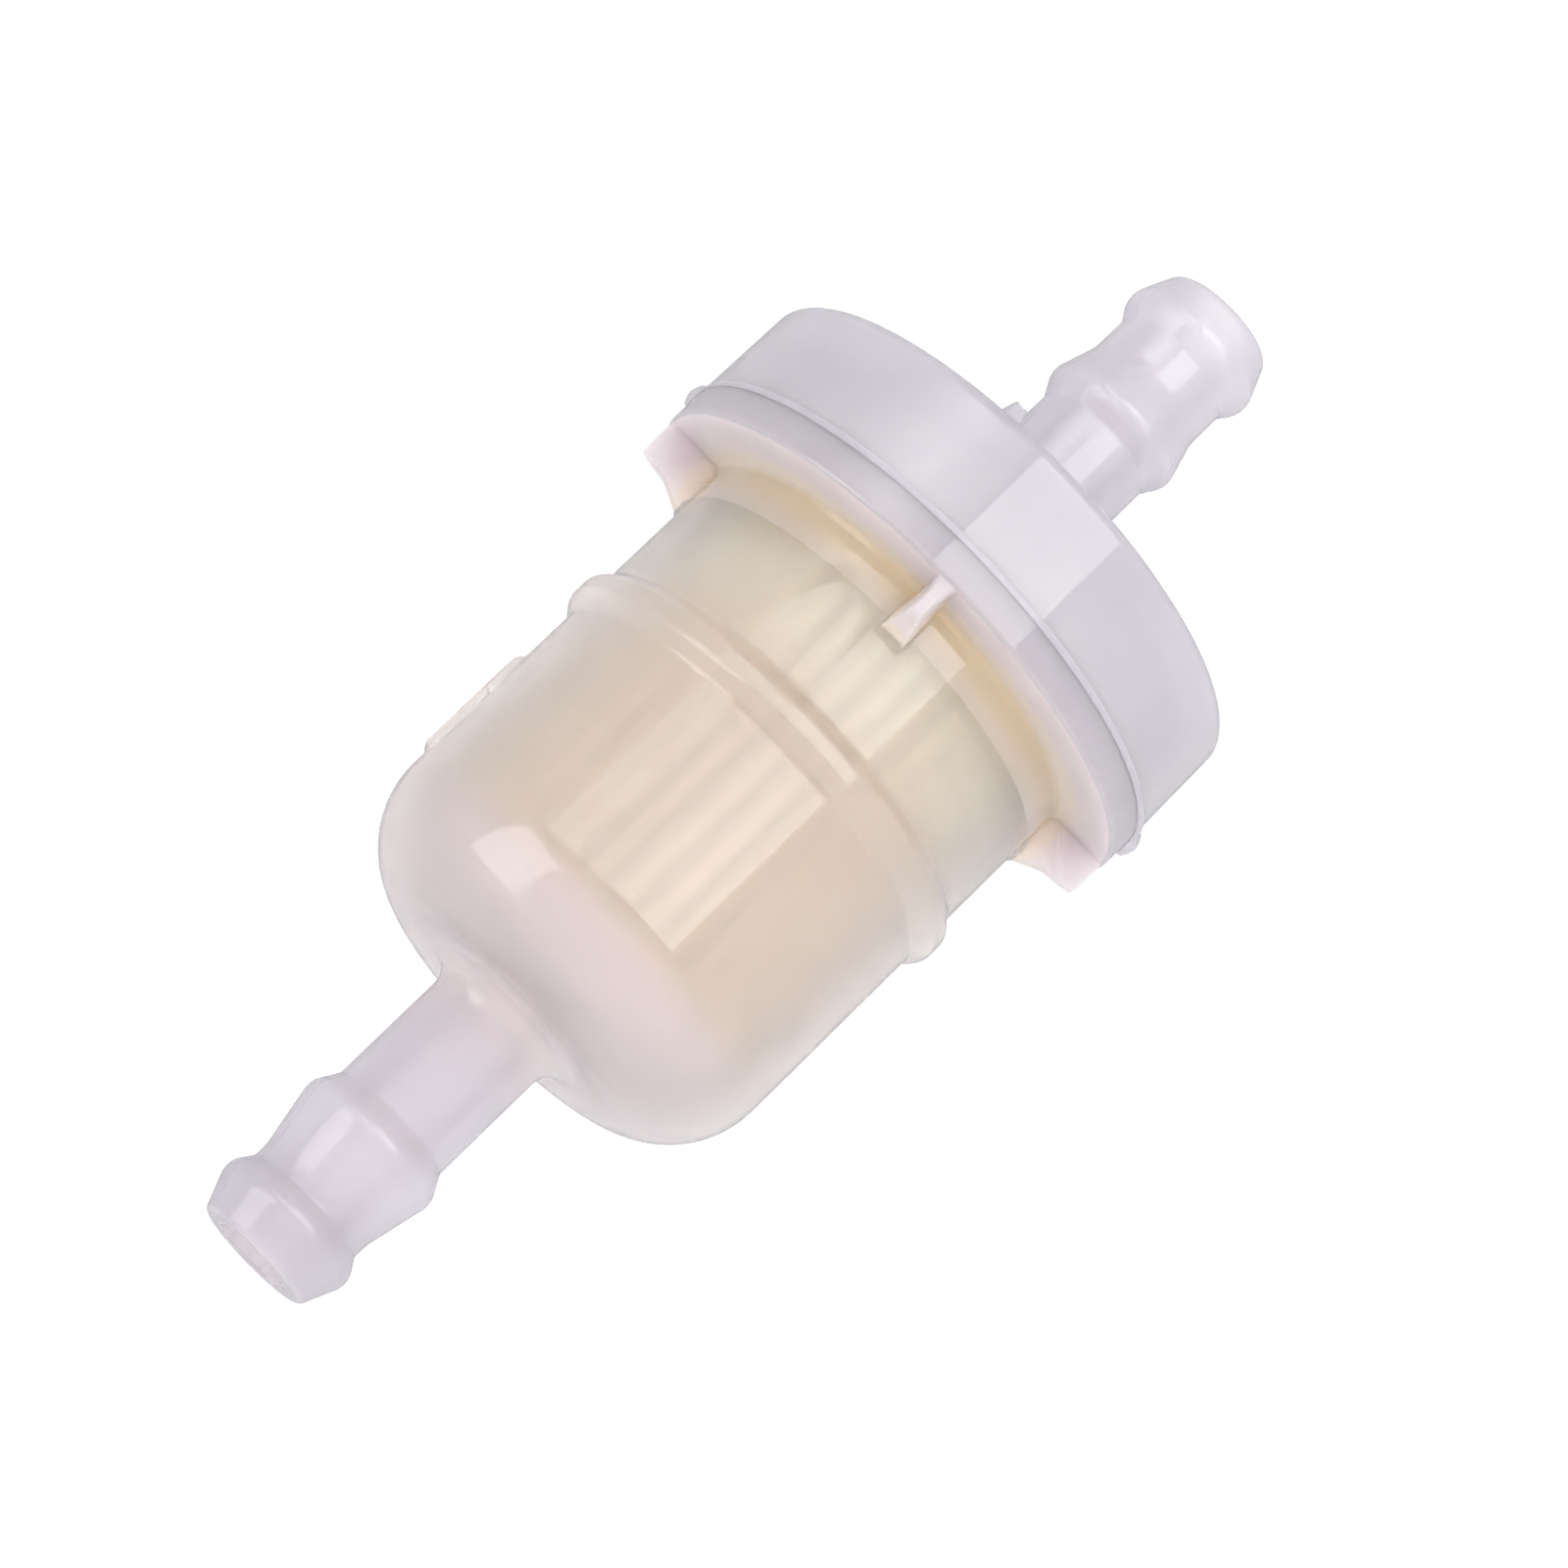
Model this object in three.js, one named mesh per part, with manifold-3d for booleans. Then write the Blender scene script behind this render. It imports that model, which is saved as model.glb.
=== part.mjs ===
// In-line fuel filter for a small engine: a bowl and a cap of translucent nylon, welded together round a
// pleated paper element. Millimetres. X runs along the fuel flow, inlet at -X and outlet at +X, Z is up,
// and the origin is on the axis, half-way between the two hose tips.
import * as THREE from "three";
import { mergeVertices } from "three/addons/utils/BufferGeometryUtils.js";
import Module from "manifold-3d";

const wasm = await Module();
wasm.setup();

// Whole object
const HALF_LENGTH = 33.38; // origin to either hose tip
const SIDES = 40; // facets of every revolved piece, a multiple of four
const GAP = 0.05; // clearance between pieces that touch

// Hose spigots; distances count from the tip. The inner barb slopes more gently at the inlet
const BORE_R = 2.1;
const NECK_R = 3.36;
const BARB_R = 4;
const TIP_R = 3.12;
const TIP_ROUND = 0.35;
const TIP_BARB = { start: TIP_ROUND, startR: TIP_R, peak: 2.3, foot: 3.35 };
const INLET_BARB = { start: 4.3, startR: NECK_R, peak: 7.7, foot: 9.05 };
const OUTLET_BARB = { start: 5.6, startR: NECK_R, peak: 7.85, foot: 9.05 };
const BARB_ROUND = 0.45;
const BARB_FALL = { outer: 0.06, inner: 0.1 }; // drop one round before and one round after the peak

// Inlet bowl
const BOWL_R = 11.6;
const BOWL_WALL = 1.2;
const BOWL_END_X = -16.7;
const BOWL_CROWN = 0.05; // the end stands this much prouder at the spigot than at the shoulder
const SHOULDER_ROUND = 5.3;
const NECK_FILLET = 0.8;
const RIB = { x: 0.45, height: 0.64, width: 1.9 };

// Flange at the bowl's mouth, and the seam
const FLANGE_R = 15.08;
const FLANGE_X = 9.48;
const FLANGE_FILLET = 0.4;
const FLANGE_ROUND = 0.25;
const SEAM_X = 11.48;
const SEAM_WIDTH = 0.3; // filled by the weld flash
const RECESS_R = 14;
const RECESS_X = 10.4;

// Four drive lugs under the flange, for the welding chuck
const LUG = { count: 4, x: 7.45, rootX: 6.65, kneeR: 13.2, tipR: 14.98, round: 0.4, ease: 0.1 };
const LUG_ROOT_WIDTH = 1.9;
const LUG_TIP_WIDTH = 1.1;

// Raised flow arrow on the +Y side of the bowl
const ARROW = { x: -10.4, length: 6.55, headLength: 2.6, headWidth: 3.8, shaftWidth: 1.7, height: 0.35 };

// Outlet cap
const CAP_TOP_X = 17.62;
const CAP_TOP_R = 14.98;
const CAP_WALL = 1.6;
const CAP_ROUND = 0.7;
const CAP_INNER_ROUND = 0.5;
const CAP_NECK_FILLET = 0.6;
const GATE = { radius: 0.45, tipRadius: 0.32, height: 1.25, root: 0.3, fromAxis: 13.5, turnDeg: 15 };

// Weld flash squeezed out of the seam: a thin fin all round, with a burr at +Y and at -Y
const FLASH = { innerR: 14.25, outerR: 15.28 };
const BURR = { x: 11.4, halfLength: 0.7, height: 0.45, halfWidth: 1.2 };

// Filter element
const PLATE = { x: RECESS_X + GAP, thickness: 0.8, holeR: 3.6, rimInnerR: 13.0 };
const POTTING = { innerR: 4.6, outerR: 10.1, thickness: 1.25 };
const PAPER = { pleats: 36, outerR: 9.9, innerR: 5, sheet: 0.35, foldGap: 0.3, rootShare: 0.42, x: -11.1 };
const CORE = { innerR: 3.6, outerR: 4.4, sides: 24 };
const WINDOW = { around: 6, rows: 4, width: 2.3, length: 3.7 };
const CUP = { outerR: 9.9, wall: 0.4, floor: 0.8, x: -13, depth: 1.5, round: 0.3 };
const BOSS = { radius: 2.4, tipRadius: 1.44, height: 0.9 };

const nylon = new THREE.MeshStandardMaterial({ color: 0xdcd6e0, roughness: 0.25, metalness: 0 });
const flashNylon = new THREE.MeshStandardMaterial({ color: 0xd6cdd8, roughness: 0.4, metalness: 0 });
const innerNylon = new THREE.MeshStandardMaterial({ color: 0xe6e2dc, roughness: 0.5, metalness: 0 });
const paper = new THREE.MeshStandardMaterial({ color: 0xe0cfb2, roughness: 0.95, metalness: 0 });
const adhesive = new THREE.MeshStandardMaterial({ color: 0xd8c47c, roughness: 0.35, metalness: 0 });

const point = (radius, x) => new THREE.Vector2(radius, x);

// Points of an arc centred on (radius, x); angles in degrees, from outwards towards +X.
function arc(radius, x, size, fromDeg, toDeg, steps) {
  return Array.from({ length: steps + 1 }, (_, i) => {
    const angle = THREE.MathUtils.degToRad(fromDeg + ((toDeg - fromDeg) * i) / steps);
    return point(radius + size * Math.cos(angle), x + size * Math.sin(angle));
  });
}

// A solid of revolution about X. The profile runs towards +X on the outside and closes on itself or
// starts and ends on the axis.
function revolve(profile, sides = SIDES) {
  const closed = profile[0].x > 0 ? [...profile, profile[0]] : profile;
  return new THREE.LatheGeometry(closed, sides).rotateZ(-Math.PI / 2);
}

// A flat shape drawn in the Y-Z plane and extruded along X, from startX to endX.
function extrudeAlongX(shape, startX, endX) {
  const depth = endX - startX;
  return new THREE.ExtrudeGeometry(shape, { depth, bevelEnabled: false, curveSegments: 4 })
    .applyMatrix4(new THREE.Matrix4().set(0, 0, 1, startX, 1, 0, 0, 0, 0, 1, 0, 0, 0, 0, 0, 1));
}

function solidOf(geometry) {
  const bare = geometry.clone();
  bare.deleteAttribute("normal");
  bare.deleteAttribute("uv");
  const merged = mergeVertices(bare, 1e-4);
  return new wasm.Manifold(
    new wasm.Mesh({
      numProp: 3,
      vertProperties: merged.attributes.position.array,
      triVerts: new Uint32Array(merged.index.array),
    }),
  );
}

function geometryOf(solid) {
  const mesh = solid.getMesh();
  return new THREE.BufferGeometry()
    .setAttribute("position", new THREE.BufferAttribute(mesh.vertProperties, 3))
    .setIndex(new THREE.BufferAttribute(mesh.triVerts, 1));
}

const filter = new THREE.Group();

function addPiece(name, geometry, material) {
  const mesh = new THREE.Mesh(geometry, material);
  mesh.name = name;
  filter.add(mesh);
}

// One barb from its thin end, over the rounded peak, down the steep side to its foot.
function barb({ start, startR, peak, foot }) {
  return [
    point(startR, start),
    point(BARB_R - BARB_FALL.outer, peak - BARB_ROUND),
    point(BARB_R, peak),
    point(BARB_R - BARB_FALL.inner, peak + BARB_ROUND),
    point(NECK_R, foot),
  ];
}

// Outside of a spigot from the tip inwards, as (radius, distance from the tip).
function spigotOutline(innerBarb) {
  return [point(TIP_R - TIP_ROUND, 0), ...barb(TIP_BARB), ...barb(innerBarb)];
}

// Half-round bead, as the arc that its width and height give.
function ribOutline() {
  const half = RIB.width / 2;
  const size = (half ** 2 + RIB.height ** 2) / (2 * RIB.height);
  const turn = THREE.MathUtils.radToDeg(Math.asin(half / size));
  return arc(BOWL_R + RIB.height - size, RIB.x, size, -turn, turn, 6);
}

function bowlShell() {
  const flatR = BOWL_R - SHOULDER_ROUND;
  const shoulderX = BOWL_END_X + SHOULDER_ROUND;
  const innerR = BOWL_R - BOWL_WALL;
  const innerRound = SHOULDER_ROUND - BOWL_WALL;
  const mouthX = SEAM_X - SEAM_WIDTH / 2;
  return revolve([
    point(BORE_R, -HALF_LENGTH),
    ...spigotOutline(INLET_BARB).map((p) => point(p.x, -HALF_LENGTH + p.y)),
    ...arc(NECK_R + NECK_FILLET, BOWL_END_X - BOWL_CROWN - NECK_FILLET, NECK_FILLET, 180, 90, 3),
    ...arc(flatR, shoulderX, SHOULDER_ROUND, -90, 0, 7),
    ...ribOutline(),
    ...arc(BOWL_R + FLANGE_FILLET, FLANGE_X - FLANGE_FILLET, FLANGE_FILLET, 180, 90, 2),
    point(FLANGE_R - FLANGE_ROUND, FLANGE_X),
    point(FLANGE_R, FLANGE_X + FLANGE_ROUND),
    point(FLANGE_R, mouthX),
    point(RECESS_R, mouthX),
    point(RECESS_R, RECESS_X),
    point(innerR, RECESS_X),
    ...arc(flatR, shoulderX, innerRound, 0, -90, 4),
    point(BORE_R, shoulderX - innerRound),
  ]);
}

// One lug on the +Z side: the side outline, cut to a section that narrows outwards.
function lug() {
  const rootR = BOWL_R - BOWL_WALL / 2;
  const topX = FLANGE_X + FLANGE_ROUND;
  const side = new THREE.Shape([
    point(rootR, LUG.rootX),
    point(BOWL_R + LUG.ease, LUG.rootX),
    point(LUG.kneeR, LUG.x - LUG.ease),
    ...arc(LUG.tipR - LUG.round, LUG.x + LUG.round, LUG.round, -90, 0, 3),
    point(LUG.tipR, topX),
    point(rootR, topX),
  ]);
  const section = new THREE.Shape([
    point(-LUG_ROOT_WIDTH / 2, rootR),
    point(LUG_ROOT_WIDTH / 2, rootR),
    point(LUG_TIP_WIDTH / 2, LUG.tipR + 1),
    point(-LUG_TIP_WIDTH / 2, LUG.tipR + 1),
  ]);
  const plate = new THREE.ExtrudeGeometry(side, { depth: LUG_ROOT_WIDTH, bevelEnabled: false })
    .translate(0, 0, -LUG_ROOT_WIDTH / 2)
    .applyMatrix4(new THREE.Matrix4().set(0, 1, 0, 0, 0, 0, 1, 0, 1, 0, 0, 0, 0, 0, 0, 1));
  return solidOf(plate).intersect(solidOf(extrudeAlongX(section, LUG.rootX - 1, topX + 1)));
}

// The arrow's outline raised from the bowl, trimmed to a cylinder a little larger than the bowl.
function flowArrow() {
  const headX = ARROW.x + ARROW.length - ARROW.headLength;
  const outline = new THREE.Shape([
    point(ARROW.x, -ARROW.shaftWidth / 2),
    point(headX, -ARROW.shaftWidth / 2),
    point(headX, -ARROW.headWidth / 2),
    point(ARROW.x + ARROW.length, 0),
    point(headX, ARROW.headWidth / 2),
    point(headX, ARROW.shaftWidth / 2),
    point(ARROW.x, ARROW.shaftWidth / 2),
  ]);
  const raised = new THREE.ExtrudeGeometry(outline, { depth: 2, bevelEnabled: false })
    .rotateX(-Math.PI / 2)
    .translate(0, BOWL_R - BOWL_WALL / 2, 0);
  const radius = BOWL_R + ARROW.height;
  const limit = revolve([
    point(0, ARROW.x - 1),
    point(radius, ARROW.x - 1),
    point(radius, ARROW.x + ARROW.length + 1),
    point(0, ARROW.x + ARROW.length + 1),
  ]);
  return solidOf(raised).intersect(solidOf(limit));
}

function inletBowl() {
  let bowl = solidOf(bowlShell()).add(flowArrow());
  const oneLug = lug();
  for (let i = 0; i < LUG.count; i += 1) bowl = bowl.add(oneLug.rotate([(360 / LUG.count) * i, 0, 0]));
  return geometryOf(bowl);
}

function outletCap() {
  const mouthX = SEAM_X + SEAM_WIDTH / 2;
  const innerR = FLANGE_R - CAP_WALL;
  const innerTopX = CAP_TOP_X - CAP_WALL;
  const shell = revolve([
    point(FLANGE_R, mouthX),
    ...arc(CAP_TOP_R - CAP_ROUND, CAP_TOP_X - CAP_ROUND, CAP_ROUND, 0, 90, 4),
    ...arc(NECK_R + CAP_NECK_FILLET, CAP_TOP_X + CAP_NECK_FILLET, CAP_NECK_FILLET, -90, -180, 2),
    ...spigotOutline(OUTLET_BARB).reverse().map((p) => point(p.x, HALF_LENGTH - p.y)),
    point(BORE_R, HALF_LENGTH),
    point(BORE_R, innerTopX),
    ...arc(innerR - CAP_INNER_ROUND, innerTopX - CAP_INNER_ROUND, CAP_INNER_ROUND, 90, 0, 2),
    point(innerR, mouthX),
  ]);
  const gate = new THREE.CylinderGeometry(GATE.tipRadius, GATE.radius, GATE.height + GATE.root, 8)
    .rotateZ(-Math.PI / 2)
    .translate(CAP_TOP_X + (GATE.height - GATE.root) / 2, 0, GATE.fromAxis)
    .rotateX(-THREE.MathUtils.degToRad(GATE.turnDeg));
  return geometryOf(solidOf(shell).add(solidOf(gate)));
}

// A fin that fills the seam and stands a little outside it, and burrs that lie on the two mouldings.
function weldFlash() {
  const low = SEAM_X - SEAM_WIDTH / 2 + GAP;
  const high = SEAM_X + SEAM_WIDTH / 2 - GAP;
  const outsideR = FLANGE_R + GAP;
  const ring = (innerR, outerR, startX, endX) =>
    revolve([point(innerR, startX), point(outerR, startX), point(outerR, endX), point(innerR, endX)]);
  const clear = solidOf(ring(outsideR, outsideR + 1, BURR.x - 1, BURR.x + 1));
  let flash = solidOf(ring(FLASH.innerR, FLASH.outerR, low, high));
  for (const side of [-1, 1]) {
    const lump = new THREE.SphereGeometry(1, 12, 8)
      .scale(BURR.halfLength, BURR.height, BURR.halfWidth)
      .translate(BURR.x, side * outsideR, 0);
    flash = flash.add(solidOf(lump).intersect(clear));
  }
  return geometryOf(flash);
}

// Flat ring clamped between bowl and cap; filtered fuel leaves through its hole.
function elementTopPlate() {
  const outerR = RECESS_R - 3 * GAP;
  const topX = PLATE.x + PLATE.thickness;
  const rimX = SEAM_X + SEAM_WIDTH / 2 - GAP;
  return revolve([
    point(PLATE.holeR, PLATE.x),
    point(outerR, PLATE.x),
    point(outerR, rimX),
    point(PLATE.rimInnerR, rimX),
    point(PLATE.rimInnerR, topX),
    point(PLATE.holeR, topX),
  ]);
}

// Zigzag tube of folded paper. Each pleat has one fold outside and one inside.
function pleatedPaper(endX) {
  const { pleats, outerR, innerR, sheet, foldGap, x } = PAPER;
  const pitch = (2 * Math.PI) / pleats;
  const gapHalf = foldGap / 2 / outerR; // half angles, as seen from the axis
  const crestHalf = gapHalf + sheet / outerR;
  const rootHalf = PAPER.rootShare * pitch;
  const valleyHalf = rootHalf - sheet / innerR;
  const at = (radius, angle) => point(radius * Math.cos(angle), radius * Math.sin(angle));
  const outside = [];
  const inside = [];
  for (let i = 0; i < pleats; i += 1) {
    const crest = i * pitch;
    const valley = crest + pitch / 2;
    outside.push(at(outerR, crest - crestHalf), at(outerR, crest + crestHalf));
    outside.push(at(innerR + sheet, valley - valleyHalf), at(innerR + sheet, valley + valleyHalf));
    inside.push(at(outerR - sheet, crest - gapHalf), at(outerR - sheet, crest + gapHalf));
    inside.push(at(innerR, valley - rootHalf), at(innerR, valley + rootHalf));
  }
  const section = new THREE.Shape(outside);
  section.holes.push(new THREE.Path(inside));
  return extrudeAlongX(section, x, endX);
}

// Tube that the paper closes on under suction, with rows of windows through its wall.
function coreCage(endX) {
  const { innerR, outerR, sides } = CORE;
  const length = endX - PAPER.x;
  let cage = solidOf(
    revolve(
      [point(innerR, PAPER.x), point(outerR, PAPER.x), point(outerR, endX), point(innerR, endX)],
      sides,
    ),
  );
  for (let row = 0; row < WINDOW.rows; row += 1) {
    const x = PAPER.x + (length * (row + 0.5)) / WINDOW.rows;
    for (let i = 0; i < WINDOW.around / 2; i += 1) {
      const through = new THREE.BoxGeometry(WINDOW.length, WINDOW.width, 4 * outerR)
        .rotateX((2 * Math.PI * i) / WINDOW.around)
        .translate(x, 0, 0);
      cage = cage.subtract(solidOf(through));
    }
  }
  return geometryOf(cage);
}

// Ring of set adhesive that closes the pleats at the plate.
function pottingTop() {
  const endX = PLATE.x - GAP;
  const startX = endX - POTTING.thickness;
  return revolve([
    point(POTTING.innerR, startX),
    point(POTTING.outerR, startX),
    point(POTTING.outerR, endX),
    point(POTTING.innerR, endX),
  ]);
}

// Disc of adhesive that closes the pleats and the core in the cup.
function pottingBottom() {
  const radius = CUP.outerR - CUP.wall - GAP;
  const startX = CUP.x + CUP.floor + GAP;
  const endX = PAPER.x - GAP;
  return revolve([point(0, startX), point(radius, startX), point(radius, endX), point(0, endX)]);
}

// Shallow cup that the blind end of the element is potted in; its boss parts the incoming fuel.
function elementBottomCup() {
  const rimX = CUP.x + CUP.depth;
  const floorX = CUP.x + CUP.floor;
  const innerR = CUP.outerR - CUP.wall;
  return revolve([
    point(0, CUP.x - BOSS.height),
    point(BOSS.tipRadius, CUP.x - BOSS.height),
    point(BOSS.radius, CUP.x),
    point(CUP.outerR - CUP.round, CUP.x),
    point(CUP.outerR, CUP.x + CUP.round),
    point(CUP.outerR, rimX),
    point(innerR, rimX),
    point(innerR, floorX),
    point(0, floorX),
  ]);
}

const pottingX = PLATE.x - GAP - POTTING.thickness;
addPiece("inlet_bowl", inletBowl(), nylon);
addPiece("outlet_cap", outletCap(), nylon);
addPiece("weld_flash_ring", weldFlash(), flashNylon);
addPiece("element_top_plate", elementTopPlate(), innerNylon);
addPiece("potting_top", pottingTop(), adhesive);
addPiece("pleated_paper", pleatedPaper(pottingX - GAP), paper);
addPiece("core_cage", coreCage(PLATE.x - GAP), innerNylon);
addPiece("potting_bottom", pottingBottom(), adhesive);
addPiece("element_bottom_cup", elementBottomCup(), innerNylon);

export default filter;
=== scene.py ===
"""Looks of a translucent in-line fuel filter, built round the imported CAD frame. Shapes are worked out in
millimetres, as in the CAD, and mesh_piece turns them into metres. Materials, lights and the camera are in
metres. X runs along the flow, and +Z is up. A profile is a list of (x, r) points, r being the distance
from the axis."""
import math

import bmesh
import bpy
import numpy as np
from mathutils import Matrix, Vector


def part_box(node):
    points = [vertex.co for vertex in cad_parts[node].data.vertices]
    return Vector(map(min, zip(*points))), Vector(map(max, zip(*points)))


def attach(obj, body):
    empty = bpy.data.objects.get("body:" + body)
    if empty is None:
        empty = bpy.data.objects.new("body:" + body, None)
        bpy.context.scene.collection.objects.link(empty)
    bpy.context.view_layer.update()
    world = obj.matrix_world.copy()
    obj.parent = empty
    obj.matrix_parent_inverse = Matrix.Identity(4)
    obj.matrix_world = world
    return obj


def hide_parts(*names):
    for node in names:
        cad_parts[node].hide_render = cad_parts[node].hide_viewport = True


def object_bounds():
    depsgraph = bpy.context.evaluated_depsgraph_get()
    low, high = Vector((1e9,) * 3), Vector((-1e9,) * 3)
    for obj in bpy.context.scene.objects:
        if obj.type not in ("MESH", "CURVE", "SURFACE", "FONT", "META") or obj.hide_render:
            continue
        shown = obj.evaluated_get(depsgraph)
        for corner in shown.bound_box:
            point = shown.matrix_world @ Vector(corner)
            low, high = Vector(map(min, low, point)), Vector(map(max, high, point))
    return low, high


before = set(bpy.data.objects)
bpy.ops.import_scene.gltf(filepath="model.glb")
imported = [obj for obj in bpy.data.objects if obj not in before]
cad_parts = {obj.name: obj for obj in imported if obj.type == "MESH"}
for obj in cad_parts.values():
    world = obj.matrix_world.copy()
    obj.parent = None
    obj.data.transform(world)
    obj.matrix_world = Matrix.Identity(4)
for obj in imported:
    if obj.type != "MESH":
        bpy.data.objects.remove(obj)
CAD_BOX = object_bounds()
MM = 0.001
QUARTER_TURN = math.pi / 2
FULL_TURN = 2 * math.pi

# Places taken from the frame, in millimetres
bowl_low, bowl_high = (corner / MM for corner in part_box("inlet_bowl"))
cap_low, cap_high = (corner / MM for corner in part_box("outlet_cap"))
TIP_IN_X = bowl_low.x
TIP_OUT_X = cap_high.x
BOWL_MOUTH_X = bowl_high.x
CAP_MOUTH_X = cap_low.x
SEAM_X = (BOWL_MOUTH_X + CAP_MOUTH_X) / 2
FLANGE_R = bowl_high.z

# Hose spigots. A barb's start, peak and foot are distances from the tip
BORE_R = 2.1
NECK_R = 3.36
TIP_R = 3.15
TIP_BARB = {"peak": 2.3, "peak_r": 4.1, "foot": 3.4, "round": 1.2}
INLET_BARB = {"start": 4.2, "peak": 7.75, "peak_r": 4.1, "foot": 9.05, "round": 1.2}
OUTLET_BARB = {"start": 5.5, "peak": 7.85, "peak_r": 4.03, "foot": 9.05, "round": 1.0}
BARB_FOOT_ROUND = {"tip": 0.45, "inner": 0.5}
BARB_START_ROUND = 2.4

# The ridge where the mould's halves met
PARTING = {"angle": math.radians(62), "height": 0.012, "width": 0.12}

# Bowl and flange
BOWL_R = 11.6
BOWL_WALL = 1.2
BOWL_END_X = -16.7
BOWL_CROWN = 0.05
SHOULDER_ROUND = 5.3
NECK_FILLET = 1.4
RIB = {"x": 0.45, "height": 0.66, "foot": 1.25, "top": 0.5, "blend": 0.5, "edge": 0.55}
FLANGE_X = 9.48
FLANGE_FOOT_ROUND = 0.5
FLANGE_RIM_ROUND = 0.22
MOUTH_ROUND = 0.04
RECESS_R = 14.0
RECESS_X = 10.4
LUG = {
    "count": 4, "start_x": 6.35, "root_x": 6.65, "root_rise": 0.12, "x": 7.45, "knee_r": 13.2, "tip_r": 14.98,
    "foot_half": 0.78, "tip_half": 0.45, "edge": 0.16,
}
ARROW = {
    "x": -10.4, "length": 6.55, "head": 2.6, "head_half": 1.9, "shaft_half": 0.85, "height": 0.35,
    "edge": 0.28,
}

# Where the bowl's looks change
FLANGE_LOOK_X = 5.0
AMBER_LOOK_X = 7.3
WALL_BAND = 0.15

# Cap
CAP_TOP_X = 17.62
CAP_TOP_R = 14.98
CAP_WALL = 1.6
GATE = {"radius": 0.6, "height": 0.95, "from_axis": 13.5, "turn": math.radians(15)}

# Weld flash and its two burrs
FLASH_INNER_R = 14.25
FLASH_HALF_WIDTH = 0.12
FLASH_FOOT = 0.03
FLASH_TOP = 0.13
BURR_SPREAD = math.radians(4.2)
TAIL_START = (math.radians(-96), math.radians(-80))
TAIL_END = (math.radians(-58), math.radians(-74))

# Pleated paper. A fold's points are (share of the pitch, distance from the crest's top or the root)
PLEATS = 36
PAPER_ROOT_R = 5.15
PAPER_HALF_SHEET = 0.14
CREST_FOLD = ((-0.16, 0.22), (-0.08, 0.05), (0, 0), (0.08, 0.05), (0.16, 0.22))
ROOT_FOLD = ((0.40, 0.25), (0.46, 0.06), (0.5, 0), (0.54, 0.06), (0.60, 0.25))

# Plate, adhesive and cup of the element
PLATE = {"hole_r": 3.6, "rim_inner_r": 13.0, "thick": 0.8}
BEAD_INNER_R = 4.6
CUP = {"boss_r": 2.4, "boss_height": 1.5, "wall": 0.4, "floor": 0.8}
CENTRE_R = 0.02
EDGE_ROUND = 0.12

SHARP_ANGLE = math.radians(38)
WELD_DISTANCE = 1e-7

rng = np.random.default_rng(7)


# ---------------------------------------------------------------- profiles and meshes


def smoothstep(low, high, value):
    """0 at low, 1 at high, and a smooth rise between them."""
    t = np.clip((value - low) / (high - low), 0, 1)
    return t * t * (3 - 2 * t)


def corner_arc(before, corner, after, radius, turn):
    """Points of the arc that rounds the corner between two neighbours, at most turn apart."""
    to_back = before - corner
    to_next = after - corner
    back = to_back / np.linalg.norm(to_back)
    ahead = to_next / np.linalg.norm(to_next)
    half = math.acos(np.clip(back @ ahead, -1, 1)) / 2
    reach = radius / math.tan(half)
    bisector = (back + ahead) / np.linalg.norm(back + ahead)
    centre = corner + bisector * radius / math.sin(half)
    start = corner + back * reach - centre
    end = corner + ahead * reach - centre
    sweep = math.pi - 2 * half
    count = max(2, math.ceil(sweep / turn))
    arc = []
    for k in range(count + 1):
        t = k / count
        from_start = math.sin((1 - t) * sweep)
        from_end = math.sin(t * sweep)
        arc.append(centre + (start * from_start + end * from_end) / math.sin(sweep))
    return arc


def rounded(corners, step=1.0, turn=math.radians(9), closed=True):
    """A profile through (x, r, round) corners, each one rounded by an arc. Straights are cut into steps."""
    points = [np.array(corner[:2], float) for corner in corners]
    count = len(points)
    arcs = []
    for i, here in enumerate(points):
        radius = corners[i][2]
        is_end = not closed and i in (0, count - 1)
        if is_end or radius <= 0:
            arcs.append([here])
        else:
            arcs.append(corner_arc(points[i - 1], here, points[(i + 1) % count], radius, turn))
    line = []
    for i in range(count if closed else count - 1):
        line += arcs[i]
        start = arcs[i][-1]
        end = arcs[(i + 1) % count][0]
        pieces = max(1, math.ceil(np.linalg.norm(end - start) / step))
        line += [start + (end - start) * k / pieces for k in range(1, pieces)]
    if not closed:
        line += arcs[-1]
    return np.array(line)


def mesh_piece(name, points, faces, look):
    """A mesh object in metres from points in millimetres, smooth but for its sharp edges."""
    mesh = bpy.data.meshes.new(name)
    mesh.from_pydata((np.asarray(points) * MM).tolist(), [], faces)
    bm = bmesh.new()
    bm.from_mesh(mesh)
    bmesh.ops.remove_doubles(bm, verts=bm.verts, dist=WELD_DISTANCE)
    bmesh.ops.recalc_face_normals(bm, faces=bm.faces)
    for face in bm.faces:
        face.smooth = True
    bm.to_mesh(mesh)
    bm.free()
    mesh.set_sharp_from_angle(angle=SHARP_ANGLE)
    piece = bpy.data.objects.new(name, mesh)
    bpy.context.scene.collection.objects.link(piece)
    mesh.materials.append(look)
    return piece


def grid_faces(rows, columns, close_rows=True):
    """Quads of a grid that closes round its columns, and round its rows too if asked."""
    last = rows if close_rows else rows - 1
    return [
        (
            i * columns + j,
            i * columns + (j + 1) % columns,
            ((i + 1) % rows) * columns + (j + 1) % columns,
            ((i + 1) % rows) * columns + j,
        )
        for i in range(last)
        for j in range(columns)
    ]


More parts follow.
